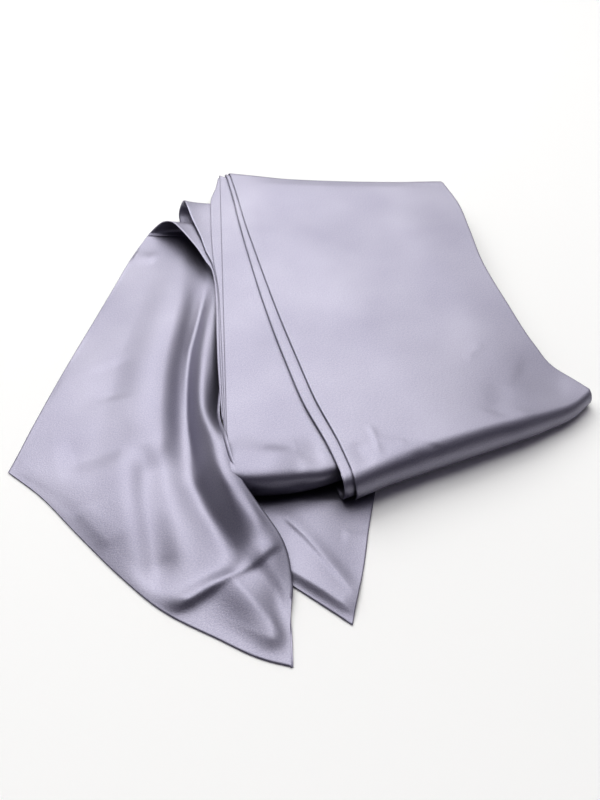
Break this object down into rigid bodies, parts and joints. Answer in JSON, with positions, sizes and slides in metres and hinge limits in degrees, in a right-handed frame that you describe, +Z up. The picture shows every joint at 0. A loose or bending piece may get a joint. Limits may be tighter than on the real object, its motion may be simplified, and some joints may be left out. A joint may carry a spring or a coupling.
{
  "type": "evening stole",
  "caption": "Satin evening stole, a long strip doubled lengthwise and folded to and fro, lying flat with one spread tail and one short tail.",
  "frame": {"origin": "on the surface the stole lies on, under the middle of its footprint", "axes": "+X to the right, +Y away from the near side, +Z up"},
  "size_m": [0.368, 0.4572, 0.022],
  "materials": {
    "satin": "soft lilac grey satin sheen"
  },
  "bodies": {
    "root": {"top_panel": "satin", "top_panel_under_ply": "satin", "second_panel": "satin", "middle_leaf": "satin", "far_turn_outer": "satin", "far_turn_inner": "satin", "left_tail": "satin", "right_tail": "satin", "folded_core": "satin"}
  },
  "joints": []
}
